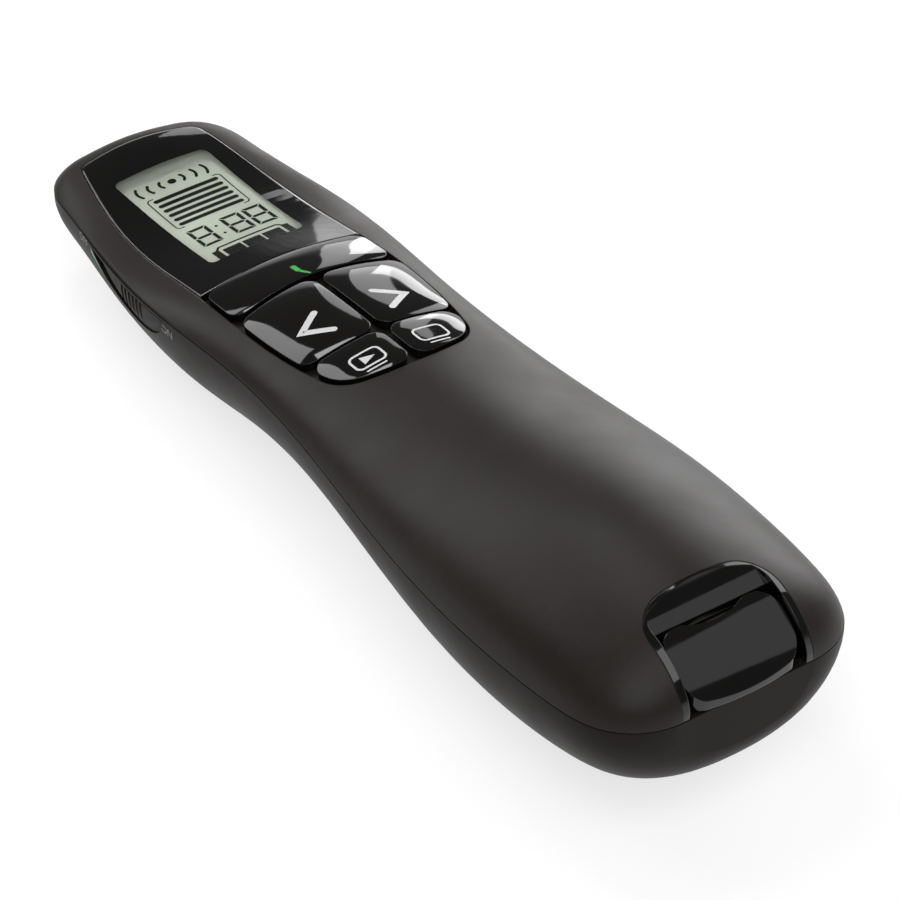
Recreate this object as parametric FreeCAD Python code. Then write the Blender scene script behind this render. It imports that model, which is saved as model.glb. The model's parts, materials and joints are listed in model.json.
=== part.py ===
import FreeCAD, Part
import math
import os

# Wireless presentation clicker with a timer display and a stowed radio receiver.
# Millimetres. +Y runs from tail to nose, +X to the right hand side, +Z up.
# The origin is the middle of the footprint, on the surface that the clicker rests on.

V = FreeCAD.Vector

# Driving dimensions of the body
body_length = 130.0
body_width = 38.6
crest_height = 26.8
wall = 1.6
side_wall = 2.2
parting_gap = 0.12
overrun = 30.0

# Shape of the body: places are shares of the length, heights are shares of the
# crest height and widths are shares of half the width
half_length = body_length / 2
half_width = body_width / 2
width_place_shares = (-0.5, -0.42, -0.30, -0.20, -0.08, 0.04, 0.16, 0.27, 0.37, 0.5)
width_value_shares = (0.94, 0.955, 0.998, 0.967, 0.885, 0.81, 0.818, 0.842, 0.77, 0.66)
parting_place_shares = (-0.5, -0.31, -0.12, 0.08, 0.27, 0.5)
parting_value_shares = (0.635, 0.588, 0.568, 0.57, 0.507, 0.46)
crest_place_shares = (-0.5, -0.37, -0.27, -0.12, 0.04, 0.19, 0.345, 0.46, 0.5)
crest_value_shares = (1.21, 1.02, 0.977, 0.855, 0.765, 0.674, 0.515, 0.567, 0.60)
belly_place_shares = (-0.5, -0.40, -0.31, -0.19, -0.04, 0.08, 0.19, 0.345, 0.5)
belly_value_shares = (0.17, 0.045, -0.014, 0.034, 0.112, 0.08, -0.014, 0.036, 0.02)
station_shares = (-0.25, -0.12, 0.0, 0.11, 0.21, 0.30)
end_station_shares = (0.0, 0.42, 0.73, 0.91, 0.985)
tail_station_share = 0.7

# Roundness of the cross section and of the two ends
top_exponent = 1.7
bottom_exponent = 2.3
cavity_nose_exponent = 2.4
plan_end_exponent = 4.1
crest_nose_exponent = 2.7
crest_tail_exponent = 2.06
belly_nose_exponent = 2.6
belly_tail_exponent = 4.8
plan_nose_rounding = 9.3
plan_tail_rounding = 18.7
crest_nose_rounding = 13.0
crest_tail_rounding = 27.0
belly_nose_rounding = 15.0
belly_tail_rounding = 20.0
section_steps = 4

# The cavity's widest line drops below the parting line towards the thin nose
cavity_drop_place_shares = (-0.5, -0.12, 0.08, 0.25, 0.36, 0.5)
cavity_drop_value_shares = (0.0, 0.0, 0.06, 0.17, 0.19, 0.19)

# Front panel: the window lens and the keys lie in one long recess
panel_half_width = 11.8
panel_length = 64.8
panel_tail_y = -2.2
panel_side_x_shares = (0.73, 0.85, 0.95, 0.983, 1.0, 0.93, 0.80)
panel_side_y_shares = (0.988, 0.883, 0.728, 0.497, 0.312, 0.142, 0.035)
panel_nose_bow = 0.7
panel_tail_bow = 2.2
panel_corner_radius = 1.5
panel_tail_radius = 5.5
panel_clearance = 0.12
collar_wall = 1.2
deck_thickness = 1.0
lens_thickness = 1.1
key_thickness = 0.95
key_lift = 0.3
key_gap = 0.45
key_corner_radius = 1.8
key_travel = 0.45

# Dividing lines across the panel: each is an arc, high in the middle
lens_tail_y = 28.35
lens_tail_bow = 0.7
laser_tail_y = 21.1
laser_tail_bow = 1.7
main_key_nose_y = 20.3
main_key_tail_y = 6.2
small_key_nose_y = 5.75
divider_half_span = 14.0

# Key stems and their switches
stem_radius = 1.7
stem_hole_clearance = 0.3
main_key_x = 5.9
main_key_y = 12.6
small_key_x = 4.9
small_key_y = 2.9
laser_key_y = 24.4
switch_side = 6.0
switch_height = 3.5
switch_bore_clearance = 0.1
switch_bore_depth = 1.2
stem_entry = 0.3
stem_tip_radius = 1.2

# Main board
board_bottom = 9.3
board_thickness = 1.0
board_tail_y = -1.4
board_nose_y = 58.0
board_half_width = 10.4
board_nose_half_width = 8.4
board_shoulder_y = 47.0
board_corner_cut_x = 8.1
board_corner_cut_y = 5.2
board_screw_x = 8.5
board_screw_y = 29.6
board_screw_mid_y = 7.8
board_screw_head_radius = 1.5
board_screw_head_height = 0.9
board_screw_radius = 0.8
board_screw_length = 5.0
board_post_radius = 2.1
seat_gap = 0.05

# Display
glass_width = 16.0
glass_length = 26.0
glass_thickness = 1.5
glass_mid_y = 45.6
glass_mid_z = 12.62
glass_tilt = 2.0
frame_wall = 0.8
frame_clearance = 0.1
frame_step = 0.25
frame_room = 1.1
frame_shelf = 1.6
connector_depth = 1.5
connector_half_width = 6.0

# Parts under the board: half length, half width, height, then the place of the middle
controller_size = (3.5, 3.5, 1.0)
controller_place = (0.0, 39.0)
radio_size = (2.2, 2.2, 0.8)
radio_place = (0.0, 31.2)
crystal_size = (1.6, 1.2, 0.8)
crystal_place = (-4.6, 31.6)
capacitor_size = (0.5, 0.9, 0.6)
capacitor_count = 5
capacitor_pitch = 1.7
capacitor_y = 45.6

# Laser
laser_axis_z = 6.6
laser_radius = 2.5
laser_tail_face_y = 49.1
laser_length = 10.4
laser_barrel_length = 4.0
laser_barrel_radius = 2.1
laser_window_thickness = 0.8
laser_window_radius = 2.5
laser_cradle_half_width = 3.6
laser_cradle_tail_y = 50.5
laser_cradle_length = 5.0
ring_radius = 2.6
ring_bore_radius = 1.7

# Vibration motor
motor_radius = 3.0
motor_length = 10.0
motor_tail_y = 13.6
motor_axis_z = 6.1
motor_shaft_radius = 0.5
motor_shaft_length = 4.4
weight_radius = 2.6
weight_thickness = 3.0
weight_gap = 0.6
weight_rise = 1.1
cradle_half_width = 4.0
cradle_tail_gap = 2.0
cradle_length = 5.0
bearing_clearance = 0.05

# Battery compartment
cell_radius = 5.25
cell_length = 43.7
cell_nub_radius = 1.9
cell_nub_length = 0.8
cell_gap = 0.7
cell_axis_z = 10.0
cell_tail_y = -52.0
pocket_half_width = 11.2
pocket_tail_y = -55.2
pocket_nose_y = -7.1
pocket_top = 15.4
pocket_wall = 1.2
roof_thickness = 0.9
tray_bottom = 7.4
contact_thickness = 0.3
contact_half_width = 3.6
contact_low = 7.8
contact_high = 13.0
contact_bow = 2.9

# Battery door
door_half_width = 13.0
door_tail_y = -56.5
door_nose_y = 5.4
door_thickness = 1.3
door_clearance = 0.15
door_tail_clearance = 0.35
door_corner_radius = 3.0
door_hook_length = 4.0
door_hook_root = 1.8
door_hook_half_width = 1.7
door_hook_x = 4.3
door_hook_bottom = 5.15
door_hook_thickness = 0.9
door_room_height = 0.9
door_grip_ribs = 4
door_grip_pitch = 1.8
door_grip_radius = 0.45
door_grip_half_width = 5.0
door_grip_y = -47.0

# Case screws, under the door
case_screw_x = 11.0
case_screw_y = 2.0
case_screw_head_radius = 1.9
case_screw_head_height = 1.3
case_screw_head_z = 9.0
case_screw_radius = 1.0
case_screw_length = 6.5
case_boss_radius = 2.5
case_post_radius = 2.2
case_joint_z = 12.4
screw_clearance = 0.2

# Receiver bay in the tail
bay_half_width = 8.8
bay_nose_y = -54.3
bay_corner_radius = 4.2
bay_liner_wall = 0.9
bay_floor_gap = 0.05
dish_radius = 6.2
dish_axis_y = -60.2
dish_axis_z = 28.7
tunnel_wall = 0.9
tunnel_clearance = 0.25
tunnel_nose_y = -43.2

# Receiver
receiver_clearance = 0.25
receiver_bottom = 17.25
receiver_nose_y = -57.6
receiver_nose_z = 23.3
receiver_mid_y = -61.6
receiver_mid_z = 21.2
receiver_tail_y = -65.2
receiver_tail_z = 18.0
receiver_tail_bow = 0.8
receiver_corner_radius = 2.6
grip_radius = 9.0
grip_axis_y = -50.2
grip_axis_z = 26.2
plug_width = 12.0
plug_height = 4.5
plug_wall = 0.3
plug_bottom = 17.45
plug_nose_y = -44.6
plug_root = 2.0
receiver_board_thickness = 1.6
receiver_board_inset = 0.6
contact_strip_count = 4
contact_strip_width = 1.1
contact_strip_pitch = 2.3
contact_strip_height = 0.12

# Power slider on the left side
slot_tail_y = 29.0
slot_length = 19.6
slot_depth = 3.9
slot_top_gap = 0.35
slot_place_shares = (0.0, 0.04, 0.14, 0.34, 0.6, 0.8, 1.0)
slot_depth_shares = (0.0, 0.5, 0.86, 1.0, 0.77, 0.44, 0.0)
slot_point_share = 5.0
slider_travel = 3.0
slider_clearance = 0.12
slider_recess = 0.2
slider_back_x = 14.1
indicator_thickness = 0.7
slider_stem_y = 36.6
slider_stem_width = 2.4
slider_stem_bottom = 7.2
slider_stem_back_x = 11.6
slider_stem_wall = 1.4
slider_stem_top = 11.4
slider_neck_height = 0.8
slider_rib_count = 6
slider_rib_pitch = 0.95
slider_rib_radius = 0.3
slider_rib_y = 34.6
lever_width = 1.0
lever_height = 1.0
lever_z = 7.9
lever_reach = 1.6
slide_switch_x = 11.3
slide_switch_width = 3.6
slide_switch_length = 9.4
slide_switch_height = 2.9
slide_switch_groove = 2.0
slide_switch_top_gap = 0.05

# Timer buttons on the right side
timer_button_z = 7.9
timer_button_places = (34.6, 41.4, 47.6)
timer_button_lengths = (6.0, 4.4, 4.4)
timer_button_height = 3.0
timer_button_lift = 0.3
timer_button_clearance = 0.12
timer_flange_depth = 3.4
timer_flange_thickness = 0.6
timer_flange_lip = 0.6
timer_travel = 0.35
timer_nib_radius = 0.7
timer_nib_length = 1.3
timer_switch_gap = 0.2
timer_switch_depth = 3.4
timer_switch_width = 4.4
timer_switch_height = 2.7


def moved(shape, across, along, up):
    copy = shape.copy()
    copy.translate(V(across, along, up))
    return copy


def raised(shape, up):
    return moved(shape, 0, 0, up)


def block(xRange, yRange, zRange):
    size = [high - low for low, high in (xRange, yRange, zRange)]
    return Part.makeBox(size[0], size[1], size[2], V(xRange[0], yRange[0], zRange[0]))


def upright(x, y, radius, low, high):
    return Part.makeCylinder(radius, high - low, V(x, y, low))


def rod(x, z, radius, tail, nose):
    return Part.makeCylinder(radius, nose - tail, V(x, tail, z), V(0, 1, 0))


def pipe(x, z, outer, inner, tail, nose):
    return rod(x, z, outer, tail, nose).cut(rod(x, z, inner, tail - overrun, nose + overrun))


def prism(edges, low, high):
    # Solid over a closed outline that is drawn at height 0
    face = Part.Face(Part.Wire(edges))
    face.translate(V(0, 0, low))
    return face.extrude(V(0, 0, high - low))


def outline(points):
    return [Part.makeLine(V(*start, 0), V(*end, 0)) for start, end in zip(points, points[1:] + points[:1])]


def arcThrough(start, middle, end):
    # Arc through three points, or a line where they lie level
    if start[1] == middle[1]:
        return Part.makeLine(V(*start, 0), V(*end, 0))
    return Part.Arc(V(*start, 0), V(*middle, 0), V(*end, 0)).toShape()


def roundUprights(shape, radius, farY=-overrun * overrun, nearY=overrun * overrun):
    # Rounds the upright edges of a prism, of all its length or between two places along it
    chosen = []
    for edge in shape.Edges:
        first = edge.Vertexes[0].Point
        last = edge.Vertexes[-1].Point
        rise = abs(last.z - first.z)
        isUpright = rise > radius and math.hypot(last.x - first.x, last.y - first.y) < seat_gap
        if isUpright and farY < first.y < nearY:
            chosen.append(edge)
    return shape.makeFillet(radius, chosen)


# Body surfaces

def smoothCurve(placeShares, valueShares, placeUnit, valueUnit):
    places = [share * placeUnit for share in placeShares]
    points = [V(place, share * valueUnit, 0) for place, share in zip(places, valueShares)]
    spline = Part.BSplineCurve()
    spline.interpolate(Points=points, Parameters=places)
    return lambda place: spline.value(place).y


widthAt = smoothCurve(width_place_shares, width_value_shares, body_length, half_width)
partingAt = smoothCurve(parting_place_shares, parting_value_shares, body_length, crest_height)
crestAt = smoothCurve(crest_place_shares, crest_value_shares, body_length, crest_height)
bellyAt = smoothCurve(belly_place_shares, belly_value_shares, body_length, crest_height)
dropAt = smoothCurve(cavity_drop_place_shares, cavity_drop_value_shares, body_length, crest_height)


def endRound(y, inset, rounding, exponent):
    # Share of the full size that is left at y, where an end rounds in
    start = half_length - rounding
    share = (abs(y) - start) / (rounding - inset)
    share = min(max(share, 0), 1)
    return (1 - share ** exponent) ** (1 / exponent)


def byEnd(y, nose, tail):
    return nose if y > 0 else tail


def sectionSizes(y, inset):
    # Half width, widest height, top height, bottom height and top exponent at y
    planRounding = byEnd(y, plan_nose_rounding, plan_tail_rounding)
    plan = endRound(y, inset, planRounding, plan_end_exponent)
    crestRounding = byEnd(y, crest_nose_rounding, crest_tail_rounding)
    crest = endRound(y, inset, crestRounding, byEnd(y, crest_nose_exponent, crest_tail_exponent))
    bellyRounding = byEnd(y, belly_nose_rounding, belly_tail_rounding)
    belly = endRound(y, inset, bellyRounding, byEnd(y, belly_nose_exponent, belly_tail_exponent))
    isCavity = inset > 0
    equator = partingAt(y) - dropAt(y) if isCavity else partingAt(y)
    width = (widthAt(y) - (side_wall if isCavity else 0)) * plan
    top = equator + (crestAt(y) - inset - equator) * crest
    bottom = equator - (equator - bellyAt(y) - inset) * belly
    thinShare = min(max(y / (body_length * station_shares[-2]), 0), 1) if isCavity else 0
    exponent = top_exponent + (cavity_nose_exponent - top_exponent) * thinShare
    return width, equator, top, bottom, exponent


def halfSection(y, width, equator, height, exponent):
    # Half a superellipse, from the edge on the +X side round to the other
    points = [V(width, y, equator)]
    for step in range(1, 2 * section_steps):
        angle = math.pi * step / (2 * section_steps)
        across = math.copysign(abs(math.cos(angle)) ** (2 / exponent), math.cos(angle))
        points.append(V(width * across, y, equator + height * math.sin(angle) ** (2 / exponent)))
    points.append(V(-width, y, equator))
    spline = Part.BSplineCurve()
    spline.interpolate(Points=points)
    return spline.toShape()


def sectionWire(y, inset):
    width, equator, top, bottom, exponent = sectionSizes(y, inset)
    upper = halfSection(y, width, equator, top - equator, exponent)
    lower = halfSection(y, width, equator, bottom - equator, bottom_exponent)
    return Part.Wire([upper, lower])


def bodyLoft(inset):
    # Solid of the whole body, or of its cavity when the inset is the wall
    tailStart = half_length - crest_tail_rounding * tail_station_share
    noseStart = half_length - belly_nose_rounding
    end = half_length - inset
    places = [-(tailStart + (end - tailStart) * share) for share in reversed(end_station_shares)]
    places += [share * body_length for share in station_shares]
    places += [noseStart + (end - noseStart) * share for share in end_station_shares]
    return Part.makeLoft([sectionWire(y, inset) for y in places], True, False)


def topAt(x, y):
    # Height of the body's upper surface
    width, equator, top, bottom, exponent = sectionSizes(y, 0)
    share = min(abs(x) / width, 1)
    return equator + (top - equator) * (1 - share ** exponent) ** (1 / exponent)


def abovePartingLine(offset):
    # Everything above the parting line, which runs level across the body
    ends = half_length + overrun
    roof = crest_height + overrun
    places = [-half_length, *[share * body_length for share in station_shares], half_length]
    points = [V(0, y, partingAt(y) + offset) for y in places]
    spline = Part.BSplineCurve()
    spline.interpolate(Points=points)
    tailEnd = V(0, -ends, points[0].z)
    noseEnd = V(0, ends, points[-1].z)
    corners = [points[-1], noseEnd, V(0, ends, roof), V(0, -ends, roof), tailEnd, points[0]]
    edges = [spline.toShape()]
    edges += [Part.makeLine(start, end) for start, end in zip(corners, corners[1:])]
    face = Part.Face(Part.Wire(edges))
    face.translate(V(-body_width, 0, 0))
    return face.extrude(V(2 * body_width, 0, 0))


standingSpace = block((-body_width, body_width), (-body_length, body_length), (0, body_length))
body = bodyLoft(0).common(standingSpace)
cavity = bodyLoft(wall)
shell = body.cut(cavity)


# Front panel

def panelPlan(inset, low, high):
    # The long outline that holds the window lens and all the keys
    points = []
    for xShare, yShare in zip(panel_side_x_shares, panel_side_y_shares):
        points.append((panel_half_width * xShare - inset, panel_tail_y + panel_length * yShare))
    points[0] = (points[0][0], points[0][1] - inset)
    points[-1] = (points[-1][0], points[-1][1] + inset)
    right = Part.BSplineCurve()
    right.interpolate(Points=[V(x, y, 0) for x, y in points])
    left = Part.BSplineCurve()
    left.interpolate(Points=[V(-x, y, 0) for x, y in reversed(points)])
    noseX, noseY = points[0]
    tailX, tailY = points[-1]
    noseArc = arcThrough((-noseX, noseY), (0, noseY + panel_nose_bow), (noseX, noseY))
    tailArc = arcThrough((tailX, tailY), (0, tailY - panel_tail_bow), (-tailX, tailY))
    solid = prism([noseArc, right.toShape(), tailArc, left.toShape()], low, high)
    solid = roundUprights(solid, panel_tail_radius - inset, -body_length, panel_tail_y + panel_length / 2)
    return roundUprights(solid, panel_corner_radius, panel_tail_y + panel_length / 2, body_length)


def bandPlan(tailY, tailBow, noseY, noseBow, low, high):
    # Strip across the panel between two arcs that are highest in the middle
    span = divider_half_span
    tailArc = arcThrough((-span, tailY - tailBow), (0, tailY), (span, tailY - tailBow))
    noseArc = arcThrough((span, noseY - noseBow), (0, noseY), (-span, noseY - noseBow))
    right = Part.makeLine(V(span, tailY - tailBow, 0), V(span, noseY - noseBow, 0))
    left = Part.makeLine(V(-span, noseY - noseBow, 0), V(-span, tailY - tailBow, 0))
    return prism([tailArc, right, noseArc, left], low, high)


boardTop = board_bottom + board_thickness
switchTop = boardTop + switch_height
plateDepth = lens_thickness + deck_thickness
planLow = board_bottom
planHigh = crest_height + overrun
panelInside = panelPlan(panel_clearance, planLow, planHigh)
keyField = panelPlan(key_gap, planLow, planHigh)


def skin(plan, high, low):
    # The layer of a plan between two copies of the body's upper surface
    return plan.common(raised(body, high)).cut(raised(body, low))


def displayLens():
    nose = panel_tail_y + panel_length + overrun
    plan = panelInside.common(bandPlan(lens_tail_y, lens_tail_bow, nose, 0, planLow, planHigh))
    # Over the display the back is flat, and reaches down to the glass
    room = raised(body, -lens_thickness).cut(glassBlock(frame_clearance, seat_gap, overrun))
    glassRoom = glassBlock(2 * frame_clearance, -glass_thickness - overrun, seat_gap)
    return plan.common(body).cut([room, glassRoom])


def stem(x, y):
    # Stem that carries a press down to the switch, with a thinner tip in the switch's bore
    tipTop = switchTop + key_travel + seat_gap
    capMiddle = topAt(x, y) + key_lift - key_thickness / 2
    shaft = upright(x, y, stem_radius, tipTop, capMiddle)
    return shaft.fuse(upright(x, y, stem_tip_radius, switchTop - stem_entry, capMiddle))


def keyShape(zone, x, y):
    plan = roundUprights(keyField.common(zone), key_corner_radius)
    return skin(plan, key_lift, key_lift - key_thickness).fuse(stem(x, y)).removeSplitter()


def sideZone(side, zone):
    # Half of a zone, clear of the gap down the middle
    near = key_gap
    far = body_width
    xRange = (near, far) if side > 0 else (-far, -near)
    return zone.common(block(xRange, (-body_length, body_length), (0, body_length)))


def keyShapes():
    laserNoseY = lens_tail_y - key_gap
    laserZone = bandPlan(laser_tail_y, laser_tail_bow, laserNoseY, lens_tail_bow, planLow, planHigh)
    mainZone = bandPlan(main_key_tail_y, 0, main_key_nose_y, laser_tail_bow, planLow, planHigh)
    smallZone = bandPlan(panel_tail_y - overrun, 0, small_key_nose_y, 0, planLow, planHigh)
    keys = {"laser_button": keyShape(laserZone, 0, laser_key_y)}
    keys["back_button"] = keyShape(sideZone(-1, mainZone), -main_key_x, main_key_y)
    keys["forward_button"] = keyShape(sideZone(1, mainZone), main_key_x, main_key_y)
    keys["slideshow_button"] = keyShape(sideZone(-1, smallZone), -small_key_x, small_key_y)
    keys["blank_button"] = keyShape(sideZone(1, smallZone), small_key_x, small_key_y)
    return keys


keyPlaces = [(0, laser_key_y)]
keyPlaces += [(side * main_key_x, main_key_y) for side in (-1, 1)]
keyPlaces += [(side * small_key_x, small_key_y) for side in (-1, 1)]


def keySwitches():
    switches = []
    for x, y in keyPlaces:
        half = switch_side / 2
        case = block((x - half, x + half), (y - half, y + half), (boardTop, switchTop))
        boreRadius = stem_tip_radius + switch_bore_clearance
        bore = upright(x, y, boreRadius, switchTop - switch_bore_depth, switchTop + overrun)
        switches.append(case.cut(bore))
    return Part.makeCompound(switches)


# Receiver bay

def bayPlan(inset, nose, low, high):
    # Bay outline with round corners at the nose end, open past the tail
    half = bay_half_width - inset
    tail = -half_length - overrun
    solid = prism(outline([(-half, tail), (half, tail), (half, nose), (-half, nose)]), low, high)
    return roundUprights(solid, bay_corner_radius - inset)


def bayLiner():
    low = pocket_top + roof_thickness + bay_floor_gap
    top = crest_height + overrun
    clearance = bay_floor_gap
    front = bayPlan(clearance, bay_nose_y - clearance, low, top)
    receiverFront = receiver_nose_y + receiver_clearance
    front = front.cut(block((-body_width, body_width), (-body_length, receiverFront), (0, top)))
    rimLow = partingAt(-half_length) + 2 * bay_floor_gap
    walls = bayPlan(clearance, bay_nose_y - clearance, rimLow, top)
    inside = bayPlan(bay_liner_wall, bay_nose_y - clearance + overrun, 0, top + overrun)
    walls = walls.cut(inside)
    halfTunnel = plug_width / 2 + tunnel_clearance + tunnel_wall
    tunnelTop = plug_bottom + plug_height + tunnel_clearance + tunnel_wall
    tunnel = block((-halfTunnel, halfTunnel), (receiverFront, tunnel_nose_y), (low, tunnelTop))
    liner = front.fuse([walls, tunnel]).common(raised(body, -bay_floor_gap))
    dish = Part.makeCylinder(dish_radius, body_width, V(-half_width, dish_axis_y, dish_axis_z), V(1, 0, 0))
    dishPlan = bayPlan(bay_liner_wall, bay_nose_y, 0, top)
    liner = liner.cut(dish.common(dishPlan))
    halfBore = plug_width / 2 + tunnel_clearance
    boreNose = plug_nose_y + 2 * tunnel_clearance
    boreRange = (plug_bottom - tunnel_clearance, plug_bottom + plug_height + tunnel_clearance)
    bore = block((-halfBore, halfBore), (-body_length, boreNose), boreRange)
    return liner.cut(bore)


# Receiver

def receiverCap():
    half = bay_half_width - bay_liner_wall - receiver_clearance
    corner = receiver_tail_y + receiver_tail_bow
    tailArc = arcThrough((-half, corner), (0, receiver_tail_y), (half, corner))
    edges = [tailArc]
    sides = [(half, corner), (half, receiver_nose_y), (-half, receiver_nose_y), (-half, corner)]
    edges += [Part.makeLine(V(*start, 0), V(*end, 0)) for start, end in zip(sides, sides[1:])]
    plan = roundUprights(prism(edges, receiver_bottom, crest_height), receiver_corner_radius)
    nose = V(0, receiver_nose_y, receiver_nose_z)
    middle = V(0, receiver_mid_y, receiver_mid_z)
    tail = V(0, receiver_tail_y, receiver_tail_z)
    noseFoot = V(0, receiver_nose_y, 0)
    tailFoot = V(0, receiver_tail_y, 0)
    profile = [Part.Arc(tail, middle, nose).toShape(), Part.makeLine(nose, noseFoot)]
    profile += [Part.makeLine(noseFoot, tailFoot), Part.makeLine(tailFoot, tail)]
    face = Part.Face(Part.Wire(profile))
    face.translate(V(-half_width, 0, 0))
    cap = plan.common(face.extrude(V(body_width, 0, 0)))
    scoop = Part.makeSphere(grip_radius, V(0, grip_axis_y, grip_axis_z))
    root = block((-plug_width / 2, plug_width / 2), (receiver_nose_y - plug_root, 0),
                 (plug_bottom, plug_bottom + plug_height))
    return cap.cut([scoop, root])


def plugShell():
    tail = receiver_nose_y - plug_root
    half = plug_width / 2
    outer = block((-half, half), (tail, plug_nose_y), (plug_bottom, plug_bottom + plug_height))
    innerHalf = half - plug_wall
    innerRange = (plug_bottom + plug_wall, plug_bottom + plug_height - plug_wall)
    return outer.cut(block((-innerHalf, innerHalf), (tail + plug_wall, 0), innerRange))


def receiverBoard():
    half = plug_width / 2 - plug_wall
    tail = receiver_nose_y - plug_root + plug_wall
    low = plug_bottom + plug_wall
    nose = plug_nose_y - receiver_board_inset
    return block((-half, half), (tail, nose), (low, low + receiver_board_thickness))


def plugContacts():
    low = plug_bottom + plug_wall + receiver_board_thickness
    nose = plug_nose_y - 2 * receiver_board_inset
    strips = []
    for index in range(contact_strip_count):
        x = (index - (contact_strip_count - 1) / 2) * contact_strip_pitch
        half = contact_strip_width / 2
        span = (receiver_nose_y + plug_root, nose)
        strips.append(block((x - half, x + half), span, (low, low + contact_strip_height)))
    return Part.makeCompound(strips)


# Board and what it carries

boardScrewPlaces = [(0, board_screw_mid_y), (-board_screw_x, board_screw_y), (board_screw_x, board_screw_y)]


def mainBoard():
    right = [(board_corner_cut_x, board_tail_y), (board_corner_cut_x, board_corner_cut_y),
             (board_half_width, board_corner_cut_y), (board_half_width, board_shoulder_y),
             (board_nose_half_width, board_nose_y)]
    left = [(-x, y) for x, y in reversed(right)]
    board = prism(outline(right + left), board_bottom, boardTop)
    holes = [upright(x, y, board_screw_radius + seat_gap, 0, planHigh) for x, y in boardScrewPlaces]
    return board.cut(holes)


def boardScrews():
    screws = []
    for x, y in boardScrewPlaces:
        head = upright(x, y, board_screw_head_radius, boardTop, boardTop + board_screw_head_height)
        screws.append(head.fuse(upright(x, y, board_screw_radius, boardTop - board_screw_length, boardTop)))
    return Part.makeCompound(screws)


def tilted(shape):
    copy = shape.copy()
    copy.rotate(V(0, glass_mid_y, glass_mid_z), V(1, 0, 0), -glass_tilt)
    return copy


def glassBlock(margin, low, high):
    half = glass_width / 2 + margin
    reach = glass_length / 2 + margin
    yRange = (glass_mid_y - reach, glass_mid_y + reach)
    return tilted(block((-half, half), yRange, (glass_mid_z + low, glass_mid_z + high)))


def displayGlass():
    return glassBlock(0, -glass_thickness, 0)


def displayFrame():
    half = glass_width / 2 + frame_clearance + frame_wall
    reach = glass_length / 2 + frame_clearance + frame_wall
    yRange = (glass_mid_y - reach, glass_mid_y + reach)
    frame = block((-half, half), yRange, (boardTop + seat_gap, crest_height))
    frame = frame.cut(glassBlock(overrun, frame_step - glass_thickness, overrun))
    frame = frame.cut(glassBlock(frame_clearance, -glass_thickness - seat_gap, overrun))
    return frame.cut(glassBlock(-frame_shelf, -overrun, overrun))


def displayConnector():
    # Soft contact strip between the board and the glass
    tail = glass_mid_y - glass_length / 2 + frame_shelf + frame_clearance
    strip = block((-connector_half_width, connector_half_width), (tail, tail + connector_depth),
                  (boardTop, crest_height))
    return strip.cut(glassBlock(overrun, -glass_thickness, overrun))


def underBoard(size, place):
    x, y = place
    half, reach, height = size
    return block((x - half, x + half), (y - reach, y + reach), (board_bottom - height, board_bottom))


def capacitors():
    group = []
    for index in range(capacitor_count):
        x = (index - (capacitor_count - 1) / 2) * capacitor_pitch
        group.append(underBoard(capacitor_size, (x, capacitor_y)))
    return Part.makeCompound(group)


# Laser and motor

def laserModule():
    nose = laser_tail_face_y + laser_length
    step = nose - laser_barrel_length
    can = rod(0, laser_axis_z, laser_radius, laser_tail_face_y, step)
    barrel = rod(0, laser_axis_z, laser_barrel_radius, step, nose)
    return can.fuse(barrel).removeSplitter()


laserNose = laser_tail_face_y + laser_length
ringTail = laserNose + laser_window_thickness + 2 * seat_gap


def laserWindow():
    tail = laserNose + seat_gap
    return rod(0, laser_axis_z, laser_window_radius, tail, tail + laser_window_thickness)


def laserRing():
    ring = pipe(0, laser_axis_z, ring_radius, ring_bore_radius, ringTail, half_length + overrun)
    return ring.common(body)


def vibrationMotor():
    nose = motor_tail_y + motor_length
    boreRadius = motor_shaft_radius + bearing_clearance
    bore = rod(0, motor_axis_z, boreRadius, nose - motor_shaft_length, nose + overrun)
    return rod(0, motor_axis_z, motor_radius, motor_tail_y, nose).cut(bore)


def motorShaft():
    nose = motor_tail_y + motor_length
    tail = nose - motor_shaft_length + seat_gap
    return rod(0, motor_axis_z, motor_shaft_radius, tail, nose + weight_gap + weight_thickness + weight_gap)


def vibrationWeight():
    tail = motor_tail_y + motor_length + weight_gap
    disc = pipe(0, motor_axis_z, weight_radius, motor_shaft_radius, tail, tail + weight_thickness)
    upper = block((-half_width, half_width), (0, half_length), (motor_axis_z + weight_rise, planHigh))
    return disc.cut(upper)


# Batteries

cellX = cell_radius + cell_gap / 2
pocketMiddle = (pocket_tail_y + pocket_nose_y) / 2


def turnedAbout(shape, x):
    copy = shape.copy()
    copy.rotate(V(x, pocketMiddle, 0), V(0, 0, 1), 180)
    return copy


def cell(x):
    tail = cell_tail_y
    can = rod(x, cell_axis_z, cell_radius, tail, tail + cell_length)
    nub = rod(x, cell_axis_z, cell_nub_radius, tail, tail + cell_length + cell_nub_length)
    return can.fuse(nub).removeSplitter()


def springContact(x):
    # Thin leaf that bows out from the end wall to the cell
    back = pocket_tail_y + seat_gap
    middleZ = (contact_low + contact_high) / 2
    front = back + contact_bow
    outer = Part.Arc(V(0, back, contact_high), V(0, front, middleZ), V(0, back, contact_low))
    innerHigh = contact_high - contact_thickness
    innerLow = contact_low + contact_thickness
    inner = Part.Arc(V(0, back, innerLow), V(0, front - contact_thickness, middleZ), V(0, back, innerHigh))
    edges = [outer.toShape(), Part.makeLine(V(0, back, contact_low), V(0, back, innerLow)),
             inner.toShape(), Part.makeLine(V(0, back, innerHigh), V(0, back, contact_high))]
    face = Part.Face(Part.Wire(edges))
    face.translate(V(x - contact_half_width, 0, 0))
    return face.extrude(V(2 * contact_half_width, 0, 0))


def plateContact(x):
    nose = pocket_nose_y - seat_gap
    xRange = (x - contact_half_width, x + contact_half_width)
    return block(xRange, (nose - contact_thickness, nose), (contact_low, contact_high))


# Battery door

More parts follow.
